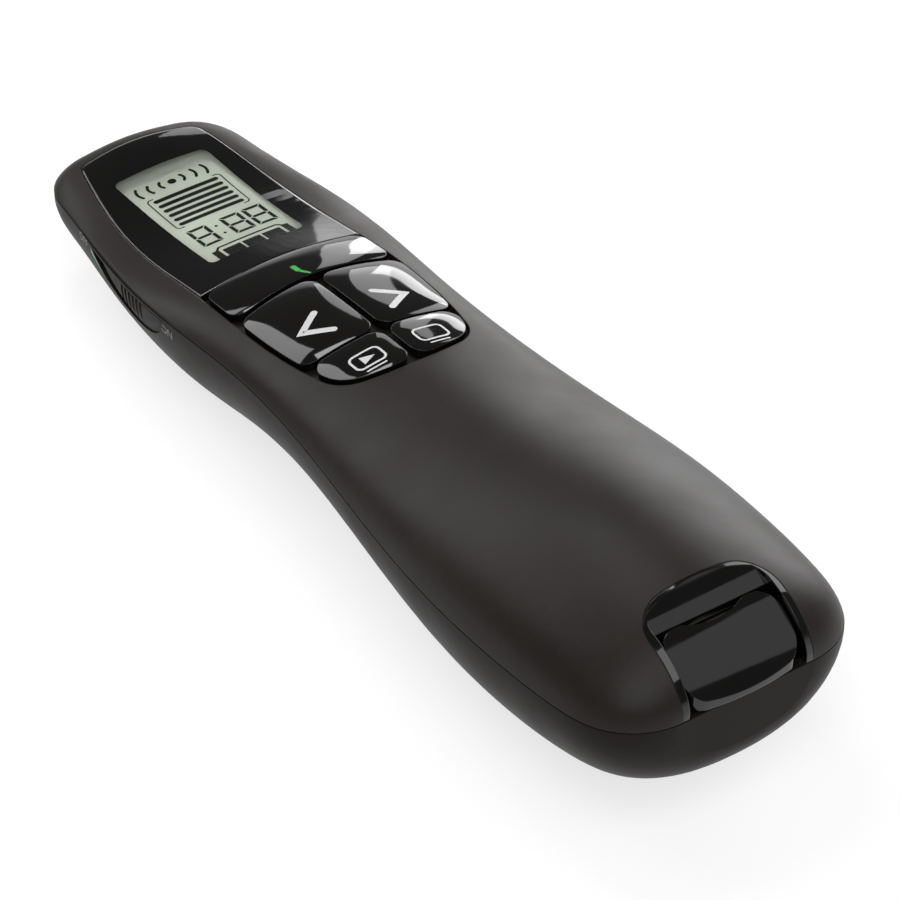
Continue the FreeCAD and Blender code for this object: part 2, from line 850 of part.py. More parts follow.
def doorPlan(margin, tailMargin):
    half = door_half_width + margin
    tail = door_tail_y - tailMargin
    nose = door_nose_y + margin
    solid = prism(outline([(-half, tail), (half, tail), (half, nose), (-half, nose)]), 0, case_joint_z)
    return roundUprights(solid, door_corner_radius + margin)


def doorLayer(margin, tailMargin, thickness):
    return doorPlan(margin, tailMargin).common(body).cut(raised(body, thickness))


def batteryDoor():
    door = doorLayer(0, 0, door_thickness)
    hookTop = door_hook_bottom + door_hook_thickness
    for side in (-1, 1):
        x = side * door_hook_x
        xRange = (x - door_hook_half_width, x + door_hook_half_width)
        rootTail = door_nose_y - door_hook_root
        rootRange = (rootTail - door_hook_root, rootTail)
        hookRange = (rootTail - door_hook_root, door_nose_y + door_hook_length)
        root = block(xRange, rootRange, (0, hookTop)).common(raised(body, door_thickness / 2))
        door = door.fuse([root, block(xRange, hookRange, (door_hook_bottom, hookTop))])
    for index in range(door_grip_ribs):
        y = door_grip_y - index * door_grip_pitch
        z = sectionSizes(y, 0)[3]
        start = V(-door_grip_half_width, y, z)
        door = door.cut(Part.makeCylinder(door_grip_radius, 2 * door_grip_half_width, start, V(1, 0, 0)))
    return door.removeSplitter()


# Case screws

def caseScrews():
    screws = []
    for side in (-1, 1):
        x = side * case_screw_x
        headTop = case_screw_head_z + case_screw_head_height
        head = upright(x, case_screw_y, case_screw_head_radius, case_screw_head_z, headTop)
        shank = upright(x, case_screw_y, case_screw_radius, headTop, headTop + case_screw_length)
        screws.append(head.fuse(shank))
    return Part.makeCompound(screws)


# Power slider

def slotLeaf(inset, along, backX, frontX):
    # Leaf outline under the parting line on the left side, drawn across and pushed through.
    # An inset draws its sharp end back further than its sides.
    tail = slot_tail_y + inset + along
    length = slot_length - inset - slot_point_share * inset
    edge = slot_top_gap + inset
    depth = slot_depth - 2 * inset
    top = []
    low = []
    for place, deep in zip(slot_place_shares, slot_depth_shares):
        y = tail + length * place
        height = partingAt(slot_tail_y + slot_length * place) - edge
        top.append(V(0, y, height))
        low.append(V(0, y, height - depth * deep))
    upper = Part.BSplineCurve()
    upper.interpolate(Points=top)
    lower = Part.BSplineCurve()
    lower.interpolate(Points=low)
    face = Part.Face(Part.Wire([upper.toShape(), lower.toShape()]))
    face.translate(V(-frontX, 0, 0))
    return face.extrude(V(frontX - backX, 0, 0))


indicatorFront = slider_back_x - bearing_clearance
indicatorBack = indicatorFront - indicator_thickness
stemMiddle = slider_stem_y + slider_stem_width / 2
neckBottom = slider_stem_top - slider_neck_height


def powerSlider():
    farX = body_width
    leaf = slotLeaf(slider_clearance, 0, slider_back_x, farX)
    leaf = leaf.common(slotLeaf(slider_clearance, -slider_travel, slider_back_x, farX))
    cap = leaf.common(moved(body, slider_recess, 0, 0))
    yRange = (slider_stem_y, slider_stem_y + slider_stem_width)
    neckRange = (-slider_back_x - seat_gap, -slider_stem_back_x - seat_gap)
    neck = block(neckRange, yRange, (neckBottom, slider_stem_top))
    footX = -indicatorBack + 2 * bearing_clearance
    foot = block((footX, -slider_stem_back_x), yRange, (slider_stem_bottom, slider_stem_top))
    slider = cap.fuse([neck, foot]).cut(switchLever())
    for index in range(slider_rib_count):
        y = slider_rib_y + index * slider_rib_pitch
        x = slider_recess - widthAt(y)
        slider = slider.cut(upright(x, y, slider_rib_radius, slider_stem_bottom, crest_height))
    return slider.removeSplitter()


def switchLever():
    yRange = (stemMiddle - lever_width / 2, stemMiddle + lever_width / 2)
    outerX = slider_stem_back_x + slider_stem_wall
    innerX = slide_switch_x - lever_reach
    return block((-outerX, -innerX), yRange, (lever_z, lever_z + lever_height))


def powerIndicator():
    plate = slotLeaf(2 * bearing_clearance, 0, indicatorBack, indicatorFront)
    gap = 2 * bearing_clearance
    yRange = (slider_stem_y - gap, slider_stem_y + slider_stem_width + slider_travel + gap)
    return plate.cut(block((-body_width, 0), yRange, (neckBottom - gap, slider_stem_top + gap)))


def slideSwitch():
    half = slide_switch_length / 2
    top = board_bottom - slide_switch_top_gap
    middle = stemMiddle + slider_travel / 2
    case = block((-slide_switch_x, -slide_switch_x + slide_switch_width), (middle - half, middle + half),
                 (top - slide_switch_height, top))
    gap = 2 * bearing_clearance
    yRange = (stemMiddle - lever_width / 2 - gap, stemMiddle + lever_width / 2 + slider_travel + gap)
    groove = block((-body_width, -slide_switch_x + slide_switch_groove), yRange,
                   (lever_z - gap, lever_z + lever_height + gap))
    return case.cut(groove)


# Timer buttons

def oval(y, z, length, height, nearX, farX):
    # Slot shaped prism along X
    radius = height / 2
    reach = length / 2 - radius
    middle = block((nearX, farX), (y - reach, y + reach), (z - radius, z + radius))
    ends = []
    for side in (-1, 1):
        ends.append(Part.makeCylinder(radius, farX - nearX, V(nearX, y + side * reach, z), V(1, 0, 0)))
    return middle.fuse(ends).removeSplitter()


def flangeX(y):
    return widthAt(y) - timer_flange_depth


def timerButton(y, length):
    z = timer_button_z
    nearX = flangeX(y)
    cap = oval(y, z, length, timer_button_height, nearX - timer_flange_thickness, body_width)
    cap = cap.common(moved(body, timer_button_lift, 0, 0))
    lip = 2 * timer_flange_lip
    flange = oval(y, z, length + lip, timer_button_height + lip, nearX - timer_flange_thickness, nearX)
    nibLength = timer_nib_length + timer_flange_thickness
    nib = Part.makeCylinder(timer_nib_radius, nibLength, V(nearX - nibLength, y, z), V(1, 0, 0))
    return cap.fuse([flange, nib]).removeSplitter()


def timerSwitches():
    switches = []
    for y in timer_button_places:
        front = flangeX(y) - timer_flange_thickness - timer_travel - timer_switch_gap
        half = timer_switch_width / 2
        top = board_bottom - slide_switch_top_gap
        depthRange = (front - timer_switch_depth, front)
        case = block(depthRange, (y - half, y + half), (top - timer_switch_height, top))
        boreStart = V(front - timer_nib_length, y, timer_button_z)
        bore = Part.makeCylinder(timer_nib_radius + bearing_clearance, overrun, boreStart, V(1, 0, 0))
        switches.append(case.cut(bore))
    return Part.makeCompound(switches)


# Covers

def topCover():
    above = abovePartingLine(parting_gap / 2)
    cover = shell.common(above)
    collar = panelPlan(-collar_wall, planLow, planHigh).common(body).cut(raised(body, -plateDepth))
    posts = []
    for side in (-1, 1):
        x = side * case_screw_x
        post = upright(x, case_screw_y, case_post_radius, case_joint_z + seat_gap, crest_height)
        posts.append(post.common(raised(body, -wall / 2)))
    cover = cover.fuse([collar] + posts)
    pocket = panelPlan(0, planLow, planHigh).cut(raised(body, -lens_thickness))
    windowRoom = glassBlock(2 * frame_clearance, -glass_thickness - overrun, overrun)
    cuts = [pocket, windowRoom]
    for x, y in keyPlaces:
        cuts.append(upright(x, y, stem_radius + stem_hole_clearance, boardTop, planHigh))
    for side in (-1, 1):
        headTop = case_screw_head_z + case_screw_head_height
        holeTop = headTop + case_screw_length + screw_clearance
        holeRadius = case_screw_radius + seat_gap
        cuts.append(upright(side * case_screw_x, case_screw_y, holeRadius, headTop, holeTop))
    cuts.append(bayPlan(0, bay_nose_y, 0, planHigh))
    return cover.cut(cuts).removeSplitter()


def bottomCover():
    below = standingSpace.cut(abovePartingLine(-parting_gap / 2))
    half = pocket_half_width + pocket_wall
    tray = block((-half, half), (pocket_tail_y - pocket_wall, pocket_nose_y + pocket_wall),
                 (tray_bottom, pocket_top + roof_thickness))
    solids = [tray.common(body)]
    for x, y in boardScrewPlaces:
        solids.append(upright(x, y, board_post_radius, 0, board_bottom - seat_gap).common(body))
    for side in (-1, 1):
        boss = upright(side * case_screw_x, case_screw_y, case_boss_radius, 0, case_joint_z)
        solids.append(boss.common(body))
    cradleTail = motor_tail_y + cradle_tail_gap
    motorCradle = block((-cradle_half_width, cradle_half_width), (cradleTail, cradleTail + cradle_length),
                        (0, motor_axis_z))
    laserCradle = block((-laser_cradle_half_width, laser_cradle_half_width),
                        (laser_cradle_tail_y, laser_cradle_tail_y + laser_cradle_length), (0, laser_axis_z))
    solids += [motorCradle.common(body), laserCradle.common(body)]
    cover = shell.common(below).fuse(solids)
    cuts = [panelPlan(-collar_wall - panel_clearance, 0, planHigh).cut(
        raised(body, -plateDepth - panel_clearance))]
    pocketRange = (pocket_tail_y, pocket_nose_y)
    cuts.append(block((-pocket_half_width, pocket_half_width), pocketRange, (0, pocket_top)))
    cuts.append(doorLayer(door_clearance, door_tail_clearance, door_thickness + door_room_height))
    cuts.append(glassBlock(frame_room, -glass_thickness - frame_room, overrun))
    for x, y in boardScrewPlaces:
        cuts.append(upright(x, y, board_screw_radius, boardTop - board_screw_length - seat_gap, planHigh))
    headTop = case_screw_head_z + case_screw_head_height
    for side in (-1, 1):
        x = side * case_screw_x
        cuts.append(upright(x, case_screw_y, case_screw_head_radius + screw_clearance, 0, headTop))
        cuts.append(upright(x, case_screw_y, case_screw_radius + screw_clearance, headTop, planHigh))
        cuts.append(upright(x, case_screw_y, case_post_radius + screw_clearance, case_joint_z, planHigh))
    cuts.append(rod(0, motor_axis_z, motor_radius + bearing_clearance, motor_tail_y - seat_gap,
                    motor_tail_y + motor_length + seat_gap))
    moduleRoom = laser_radius + bearing_clearance
    ringRoom = ring_radius + bearing_clearance
    cuts.append(rod(0, laser_axis_z, moduleRoom, laser_tail_face_y - seat_gap, ringTail))
    cuts.append(rod(0, laser_axis_z, ringRoom, ringTail - seat_gap, half_length + overrun))
    cuts.append(slotLeaf(0, 0, indicatorBack, body_width))
    gap = 2 * bearing_clearance
    stemRange = (slider_stem_y - 2 * gap, slider_stem_y + slider_stem_width + slider_travel + 2 * gap)
    cuts.append(block((-indicatorBack, -slider_stem_back_x + overrun / 2), stemRange,
                      (slider_stem_bottom - gap, slider_stem_top + 2 * gap)))
    for y, length in zip(timer_button_places, timer_button_lengths):
        clearance = 2 * timer_button_clearance
        height = timer_button_height + clearance
        cuts.append(oval(y, timer_button_z, length + clearance, height, 0, body_width))
        lip = 2 * timer_flange_lip + 2 * clearance
        cuts.append(oval(y, timer_button_z, length + lip, timer_button_height + lip, 0, flangeX(y) + gap))
    cuts.append(bayPlan(0, receiver_nose_y + receiver_clearance, pocket_top + roof_thickness, planHigh).cut(
        block((-body_width, body_width), (-body_length, -half_length + wall), (0, planHigh))))
    return cover.cut(cuts).removeSplitter()


# Output

pieces = {
    "top_cover": topCover(),
    "bottom_cover": bottomCover(),
    "display_lens": displayLens(),
    "display_glass": displayGlass(),
    "display_frame": displayFrame(),
    "main_board": mainBoard(),
    "board_screws": boardScrews(),
    "controller_chip": underBoard(controller_size, controller_place),
    "radio_chip": underBoard(radio_size, radio_place),
    "board_crystal": underBoard(crystal_size, crystal_place),
    "board_capacitors": capacitors(),
    "display_connector": displayConnector(),
    "key_switches": keySwitches(),
    "timer_switches": timerSwitches(),
    "slide_switch": slideSwitch(),
    "switch_lever": switchLever(),
    "power_slider": powerSlider(),
    "power_indicator": powerIndicator(),
    "laser_module": laserModule(),
    "laser_window": laserWindow(),
    "laser_ring": laserRing(),
    "vibration_motor": vibrationMotor(),
    "motor_shaft": motorShaft(),
    "vibration_weight": vibrationWeight(),
    "battery_left": cell(-cellX),
    "battery_right": turnedAbout(cell(cellX), cellX),
    "spring_contacts": Part.makeCompound([springContact(-cellX), turnedAbout(springContact(cellX), cellX)]),
    "plate_contacts": Part.makeCompound([plateContact(-cellX), turnedAbout(plateContact(cellX), cellX)]),
    "battery_door": batteryDoor(),
    "case_screws": caseScrews(),
    "bay_liner": bayLiner(),
    "receiver_cap": receiverCap(),
    "plug_shell": plugShell(),
    "receiver_board": receiverBoard(),
    "plug_contacts": plugContacts(),
}
pieces.update(keyShapes())
timerNames = ("start_button", "plus_button", "minus_button")
for name, y, length in zip(timerNames, timer_button_places, timer_button_lengths):
    pieces[name] = timerButton(y, length)

os.makedirs("parts", exist_ok=True)
for name, shape in pieces.items():
    print(name, "solids", len(shape.Solids), "valid", shape.isValid(), "volume", round(shape.Volume, 2))
    shape.exportStep(f"parts/{name}.step")
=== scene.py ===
import bmesh
import bpy
import json
import math
import numpy as np
from mathutils import Matrix, Vector


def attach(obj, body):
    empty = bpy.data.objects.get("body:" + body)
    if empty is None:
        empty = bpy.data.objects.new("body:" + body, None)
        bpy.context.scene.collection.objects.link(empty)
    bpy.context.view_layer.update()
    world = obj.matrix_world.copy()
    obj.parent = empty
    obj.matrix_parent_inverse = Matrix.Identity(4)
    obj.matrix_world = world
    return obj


# Wireless presentation clicker: its finishes, its printed marks and the studio round it.
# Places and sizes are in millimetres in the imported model's own frame: +Y to the nose, +X to
# the right hand side and +Z up. Times mm, they are Blender's metres.

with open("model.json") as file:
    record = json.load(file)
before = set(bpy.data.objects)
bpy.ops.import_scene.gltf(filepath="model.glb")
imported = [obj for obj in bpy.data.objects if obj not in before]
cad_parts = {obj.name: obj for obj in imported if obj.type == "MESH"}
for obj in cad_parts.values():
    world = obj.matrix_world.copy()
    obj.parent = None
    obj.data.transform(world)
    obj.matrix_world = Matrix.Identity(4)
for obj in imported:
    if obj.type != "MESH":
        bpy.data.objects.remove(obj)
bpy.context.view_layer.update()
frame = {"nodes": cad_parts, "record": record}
nodes = frame["nodes"]
mm = 0.001
print("frame loaded,", len(nodes), "nodes")


def linearColour(hexText):
    # sRGB to linear light: c/12.92 for a dark channel, otherwise ((c + 0.055)/1.055)^2.4
    channels = np.array([int(hexText[place:place + 2], 16) for place in (1, 3, 5)]) / 255
    bright = ((channels + 0.055) / 1.055) ** 2.4
    linear = np.where(channels <= 0.04045, channels / 12.92, bright)
    return (*(float(value) for value in linear), 1.0)


def addNode(tree, kind, settings=None, inputs=None):
    # A node with its settings, and its inputs set to a value or linked to a socket
    node = tree.nodes.new(kind)
    for name, value in (settings or {}).items():
        setattr(node, name, value)
    for name, value in (inputs or {}).items():
        socket = node.inputs[name]
        if isinstance(value, bpy.types.NodeSocket):
            tree.links.new(value, socket)
        else:
            socket.default_value = value
    return node


def startMaterial(name):
    material = bpy.data.materials.new(name)
    material.use_nodes = True
    tree = material.node_tree
    tree.nodes.clear()
    return material, tree


# Finishes. A pattern is the size of its blobs and how much finer detail they hold. The first
# one sets tone and roughness, the last one makes the bumps. A finish has these values
# unless its own dictionary gives others.

plain = {"patterns": ((3.0, 2.0),), "stretch": (1, 1, 1), "roughness": 0.3, "metallic": 0.0,
         "ior": 1.5, "depth": 0.0, "strength": 0.3, "edge": 0.1, "crown": None, "band": None}
noiseSpan = {"From Min": 0.3, "From Max": 0.7}  # nearly all of a noise pattern lies in it
bevelSamples = 4


def crownHeight(tree, coords, middle, reach):
    # Crown of a key's top: height falls as x^4 + y^4, where x and y are the ways from its
    # middle in shares of its half width and half length
    places = {"Vector": coords, "Location": [-middle[0] / reach[0], -middle[1] / reach[1], 0],
              "Scale": [1 / (reach[0] * mm), 1 / (reach[1] * mm), 0]}
    shares = addNode(tree, "ShaderNodeMapping", inputs=places).outputs[0]
    squares = addNode(tree, "ShaderNodeVectorMath", {"operation": "MULTIPLY"},
                      {0: shares, 1: shares}).outputs[0]
    powers = addNode(tree, "ShaderNodeVectorMath", {"operation": "DOT_PRODUCT"},
                     {0: squares, 1: squares}).outputs["Value"]
    return addNode(tree, "ShaderNodeMath", {"operation": "MULTIPLY"},
                   {0: powers, 1: -1.0}).outputs[0]


def surface(name, tones, finish):
    # Two tones and a roughness that follow a noise pattern, fine bumps, and every edge
    # softened to a radius, as a moulding has it
    finish = {**plain, **finish}
    material, tree = startMaterial(name)
    coords = addNode(tree, "ShaderNodeTexCoord").outputs["Object"]
    drawn = addNode(tree, "ShaderNodeMapping",
                    inputs={"Vector": coords, "Scale": finish["stretch"]}).outputs[0]
    noises = [addNode(tree, "ShaderNodeTexNoise",
                      inputs={"Vector": drawn, "Scale": 1 / (size * mm), "Detail": detail})
              for size, detail in finish["patterns"]]
    tone, grain = noises[0].outputs["Fac"], noises[-1].outputs["Fac"]
    ramp = addNode(tree, "ShaderNodeValToRGB", inputs={"Fac": tone})
    for stop, place, hexText in zip(ramp.color_ramp.elements, noiseSpan.values(), tones):
        stop.color = linearColour(hexText)
        stop.position = place
    inputs = {"Base Color": ramp.outputs["Color"], "Roughness": finish["roughness"],
              "Metallic": finish["metallic"], "IOR": finish["ior"]}
    if isinstance(finish["roughness"], tuple):
        low, high = finish["roughness"]
        dull = addNode(tree, "ShaderNodeMapRange",
                       inputs={"Value": tone, **noiseSpan, "To Min": low, "To Max": high})
        inputs["Roughness"] = dull.outputs["Result"]
    if finish["band"]:
        # Another colour where Y is past the band's place
        hexText, (first, last) = finish["band"]
        along = addNode(tree, "ShaderNodeSeparateXYZ", inputs={"Vector": coords}).outputs["Y"]
        past = addNode(tree, "ShaderNodeMapRange", inputs={
            "Value": along, "From Min": first * mm, "From Max": last * mm}).outputs["Result"]
        firstColour, secondColour = 6, 7  # the colour inputs of a Mix node
        mixed = addNode(tree, "ShaderNodeMix", {"data_type": "RGBA"}, {
            "Factor": past, firstColour: ramp.outputs["Color"],
            secondColour: linearColour(hexText)})
        inputs["Base Color"] = mixed.outputs[2]
    if finish["depth"]:
        soft = addNode(tree, "ShaderNodeBevel", {"samples": bevelSamples},
                       {"Radius": finish["edge"] * mm})
        bumps = addNode(tree, "ShaderNodeBump", inputs={
            "Height": grain, "Distance": finish["depth"] * mm, "Strength": finish["strength"],
            "Normal": soft.outputs["Normal"]})
        inputs["Normal"] = bumps.outputs["Normal"]
    if finish["crown"]:
        middle, reach, rise = finish["crown"]
        dome = addNode(tree, "ShaderNodeBump", inputs={
            "Height": crownHeight(tree, coords, middle, reach), "Distance": rise * mm,
            "Strength": 1.0, "Normal": inputs["Normal"]})
        inputs["Normal"] = dome.outputs["Normal"]
    shader = addNode(tree, "ShaderNodeBsdfPrincipled", inputs=inputs)
    addNode(tree, "ShaderNodeOutputMaterial", inputs={"Surface": shader.outputs["BSDF"]})
    return material


# Soft-touch paint sprayed over moulded ABS: dark and matte, with a wide satin glow. The
# real grain is about 0.1 mm. It is drawn at 0.22 mm, so that it shows.
softTouch = {"patterns": ((9.0, 3.0), (0.22, 1.0)), "depth": 0.02, "strength": 0.35,
             "edge": 0.22, "roughness": (0.4, 0.48)}
# ABS or acrylic from a polished tool: it mirrors the lamps, with a faint orange peel
gloss = {"patterns": ((7.0, 4.0), (2.4, 0.0)), "depth": 0.004, "strength": 0.5, "edge": 0.15,
         "roughness": (0.03, 0.075), "ior": 1.53}
# Reflective display cell: a pale grey green film, faintly clouded, without a shine of its own
cellFilm = {"patterns": ((6.0, 2.0),), "roughness": (0.3, 0.4), "ior": 1.15}
# Printed foil jacket of a battery: dark grey, with a copper band at the nub's end
foilJacket = {"band": ("#a8693a", (-18.5, -18.4)), "metallic": 0.6}


def satin(size, roughness, metallic=0.0, ior=1.5):
    # Plain moulded, printed or plated stock: its gloss varies softly by 15% either way
    return {"patterns": ((size, 3.0),), "roughness": (roughness * 0.85, roughness * 1.15),
            "depth": 0.01, "metallic": metallic, "ior": ior}


def lined(pitch, roughness, stretch):
    # Drawn or turned metal: fine lines along one axis, which draw out its highlights. Its
    # gloss varies by 20% either way.
    return {"patterns": ((pitch, 1.0),), "roughness": (roughness * 0.8, roughness * 1.2),
            "depth": 0.008, "strength": 0.35, "stretch": stretch, "metallic": 1.0}


clear = {"ior": 1.49, "roughness": 0.02, "edge": 0.15}


def clearAcrylic(name, tint):
    # Clear moulded acrylic: it mirrors the studio and shows what lies behind it. Shadow rays
    # pass through, so that the lamps reach that too.
    material, tree = startMaterial(name)
    soft = addNode(tree, "ShaderNodeBevel", {"samples": bevelSamples},
                   {"Radius": clear["edge"] * mm})
    glass = addNode(tree, "ShaderNodeBsdfPrincipled", inputs={
        "Base Color": linearColour(tint), "IOR": clear["ior"], "Roughness": clear["roughness"],
        "Transmission Weight": 1.0, "Normal": soft.outputs["Normal"]})
    lampPath = addNode(tree, "ShaderNodeBsdfTransparent", inputs={"Color": linearColour(tint)})
    rays = addNode(tree, "ShaderNodeLightPath").outputs
    mixed = addNode(tree, "ShaderNodeMixShader", inputs={
        "Fac": rays["Is Shadow Ray"], 1: glass.outputs["BSDF"], 2: lampPath.outputs["BSDF"]})
    addNode(tree, "ShaderNodeOutputMaterial", inputs={"Surface": mixed.outputs[0]})
    return material


blackAbs = ("#0d0b0a", "#110f0e")
finishes = {
    # Painted shells: warm near black. The base is duller than the top, and its colour a little
    # darker as painted shade for its lower flank, which faces away from the lamps
    "soft_touch_top": surface("softTouchPaintTop", ("#211b19", "#251f1c"),
                              {**softTouch, "ior": 1.33}),
    "soft_touch_base": surface("softTouchPaintBase", ("#1d1816", "#211c1a"),
                               {**softTouch, "ior": 1.2}),
    # Water clear windows
    "lens_black": clearAcrylic("clearAcrylicLens", "#f4f6f2"),
    "clear_glass": clearAcrylic("clearWindowGlass", "#eef4f2"),
    # Polished mouldings: the black keys and receiver, and the green of the indicator
    "key_black": surface("glossBlackAbs", blackAbs, gloss),
    "indicator_green": surface("greenMouldedPlastic", ("#2c9556", "#36a862"), gloss),
    # The power slider's textured black, which hardly shines
    "slider": surface("satinMouldedBlack", ("#171211", "#1c1715"), satin(0.8, 0.5, ior=1.25)),
    # Inside: a pale film in a white frame, matte grey rubber, dull green and black resin
    "display_grey": surface("displayCellFilm", ("#c3c6be", "#ccd0c8"), cellFilm),
    "white_plastic": surface("whiteMouldedPlastic", ("#d8d8d4", "#e2e2de"), satin(2.0, 0.5)),
    "contact_rubber": surface("stripedContactRubber", ("#56575a", "#66676a"), satin(0.4, 0.7)),
    "board_green": surface("greenSolderResist", ("#0d3b1e", "#124926"), satin(1.5, 0.35)),
    "chip_black": surface("mouldedResinBlack", ("#17171a", "#1e1e21"), satin(0.5, 0.55)),
    "cell_jacket": surface("printedCellJacket", ("#2a2c30", "#34363b"), foilJacket),
    # Metals: grey zinc, sintered steel, bright nickel and gold, brushed steel and turned brass
    "screw_steel": surface("zincPlatedSteel", ("#8b8d90", "#a1a3a6"), satin(0.8, 0.35, 1.0)),
    "weight_steel": surface("sinteredSteel", ("#7a7b7d", "#8c8d8f"), satin(0.3, 0.45, 1.0)),
    "contact_nickel": surface("nickelPlatedSteel", ("#b4b2ab", "#c2c0b9"),
                              satin(1.0, 0.22, 1.0)),
    "contact_gold": surface("goldFlashedCopper", ("#c79a45", "#d6aa55"), satin(0.8, 0.25, 1.0)),
    "can_steel": surface("pressedSteelCan", ("#9a9c9f", "#adafb2"),
                         lined(0.2, 0.3, (1, 0.02, 1))),
    "laser_brass": surface("turnedBrass", ("#a98346", "#bd9652"),
                           lined(0.15, 0.28, (0.02, 1, 1))),
}
slotOf = {part["node"]: part["material_slot"] for part in frame["record"]["subparts"]}
# Each key's top is a shallow pillow: its middle, its half width and half length, its rise
crowns = {
    "laser_button": ((0.0, 24.3), (11.5, 4.0), 0.28),
    "back_button": ((-5.7, 13.0), (5.7, 7.2), 0.42),
    "forward_button": ((5.7, 13.0), (5.7, 7.2), 0.42),
    "slideshow_button": ((-5.0, 2.4), (4.9, 3.8), 0.28),
    "blank_button": ((5.0, 2.4), (4.9, 3.8), 0.28),
}
for name, node in nodes.items():
    finish = finishes["slider" if name == "power_slider" else slotOf[name]]
    if name in crowns:
        finish = surface("glossBlackAbs_" + name, blackAbs, {**gloss, "crown": crowns[name]})
    for holder in node.material_slots:
        holder.material = finish
print("finishes on", len(slotOf), "nodes")


# Making and placing new pieces


def newPiece(name, points, faces, material, body, smooth=True):
    # A mesh from points in millimetres, which rides on its body
    mesh = bpy.data.meshes.new(name)
    corners = (np.asarray(points) * mm).tolist()
    mesh.from_pydata(corners, [], [list(map(int, face)) for face in faces])
    mesh.polygons.foreach_set("use_smooth", [smooth] * len(mesh.polygons))
    mesh.materials.append(material)
    piece = bpy.data.objects.new(name, mesh)
    bpy.context.scene.collection.objects.link(piece)
    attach(piece, body)


def gridFaces(rows, columns):
    # Quads of a grid of points that is stored row by row
    corner = (np.arange(rows - 1)[:, None] * columns + np.arange(columns - 1)).ravel()
    return np.stack([corner, corner + 1, corner + columns + 1, corner + columns], axis=1)


def resampled(path, step):
    # The path with points at most a step apart along each of its runs, its corners kept
    pieces = []
    for first, last in zip(path[:-1], path[1:]):
        count = max(1, math.ceil(np.linalg.norm(last - first) / step))
        pieces.append(first + (last - first) * np.arange(count)[:, None] / count)
    return np.vstack(pieces + [path[-1:]])


# A ribbon's points lie a step apart. Mitres stretch it by 1/leastMitre at most, and its
# round ends narrow to the root of leastEnd.
ribbon = {"step": 0.15, "leastMitre": 0.35, "leastEnd": 0.02}


def strokeGrid(path, width, closed=False, roundEnds=True, columns=5):
    # Ribbon along a flat path: each point goes out along the corner's mitre by
    # width/2 * t for t from -1 to 1. A round end narrows as sqrt(1 - (1 - d/r)^2),
    # where d is the way in from the end and r is half the width.
    path = np.asarray(path, float)
    if closed:
        path = np.vstack([path, path[:1]])
    path = resampled(path, ribbon["step"])
    ahead = np.diff(path, axis=0)
    ahead /= np.linalg.norm(ahead, axis=1)[:, None]
    before = np.vstack([ahead[-1:] if closed else ahead[:1], ahead])
    after = np.vstack([ahead, ahead[:1] if closed else ahead[-1:]])
    mitre = before + after
    mitre /= np.linalg.norm(mitre, axis=1)[:, None]
    stretch = 1 / np.maximum((mitre * after).sum(axis=1), ribbon["leastMitre"])
    side = np.stack([-mitre[:, 1], mitre[:, 0]], axis=1) * stretch[:, None]
    half = np.full(len(path), width / 2)
    if roundEnds and not closed:
        runs = np.linalg.norm(np.diff(path, axis=0), axis=1)
        along = np.concatenate([[0], np.cumsum(runs)])
        inward = np.minimum(np.minimum(along, along[-1] - along) / (width / 2), 1)
        half *= np.sqrt(np.maximum(1 - (1 - inward) ** 2, ribbon["leastEnd"]))
    across = np.linspace(-1, 1, columns)
    grid = path[:, None, :] + side[:, None, :] * half[:, None, None] * across[None, :, None]
    return grid.reshape(-1, 2), gridFaces(len(path), columns)


def filledPolygon(corners, rings=6, step=0.2, core=0.02):
    # Rings that shrink from the corners towards their middle, down to a tiny core
    corners = resampled(np.vstack([corners, corners[:1]]), step)[:-1]
    middle = corners.mean(axis=0)
    shares = np.linspace(1, core, rings)
    points = middle + (corners[None] - middle) * shares[:, None, None]
    points = np.concatenate([points, points[:, :1]], axis=1)
    return points.reshape(-1, 2), gridFaces(rings, len(corners) + 1)


def roundedRectangle(middle, size, radius, steps=6):
    # Corners are quarter circles: centre + radius * (cos a, sin a)
    x, y = middle
    halfX, halfY = size[0] / 2 - radius, size[1] / 2 - radius
    angles = np.linspace(0, math.pi / 2, steps)
    corners = []
    for quarter, (signX, signY) in enumerate(((1, 1), (-1, 1), (-1, -1), (1, -1))):
        turn = angles + quarter * math.pi / 2
        centre = np.array([x + signX * halfX, y + signY * halfY])
        corners.append(centre + radius * np.stack([np.cos(turn), np.sin(turn)], axis=1))
    return np.vstack(corners)


def disc(middle, radiusX, radiusY, steps=24):
    # Ellipse: middle + (radiusX * cos a, radiusY * sin a)
    angles = np.linspace(0, 2 * math.pi, steps, endpoint=False)
    rim = np.stack([radiusX * np.cos(angles), radiusY * np.sin(angles)], axis=1)
    return filledPolygon(np.array(middle) + rim)


def joined(parts):
    # Several point and face arrays as one
    points, faces, start = [], [], 0
    for some, shapes in parts:
        points.append(some)
        faces += [np.asarray(face) + start for face in shapes]
        start += len(some)
    return np.vstack(points), faces


down, toRight, toLeft = (0, 0, -1), (1, 0, 0), (-1, 0, 0)
rayRun = 50.0  # how far outside a place its ray starts


def pressed(places, node, lift, direction=down):
    # Moves each place along the direction onto a CAD node's surface, then out by the lift
    way = Vector(direction)
    points = []
    for place in places:
        start = Vector(place) * mm - way * (rayRun * mm)
        found, hit, normal = nodes[node].ray_cast(start, way)[:3]
        if not found:
            raise ValueError(f"a mark reaches past {node} at {tuple(place)}")
        points.append(hit / mm + normal * lift)
    return np.array(points)


def laid(name, parts, node, lift, body, material, direction=down):
    # Marks that lie on a CAD node's surface, seen along the direction
    places, faces = joined(parts)
    newPiece(name, pressed(places, node, lift, direction), faces, material, body)


# Marks printed on the keys

